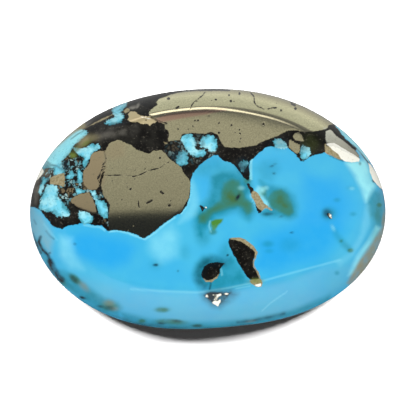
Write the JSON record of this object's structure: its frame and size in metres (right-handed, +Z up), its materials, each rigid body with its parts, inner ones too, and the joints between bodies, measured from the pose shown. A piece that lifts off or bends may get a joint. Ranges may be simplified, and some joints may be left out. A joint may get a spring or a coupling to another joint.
{
  "type": "oval turquoise cabochon with pyrite",
  "caption": "Polished oval cabochon of turquoise with pyrite and dark matrix, low domed face, rounded shoulder, flat back to rest on or to set in a bezel.",
  "frame": {"origin": "on the flat back, below the middle of the oval", "axes": "+X along the length, +Y across the width, +Z up out of the domed face"},
  "size_m": [0.03, 0.0206, 0.0052],
  "materials": {
    "polished_turquoise": "waxy polish, with pyrite and dark matrix"
  },
  "bodies": {
    "root": {"turquoise_cabochon": "polished_turquoise"}
  },
  "joints": []
}
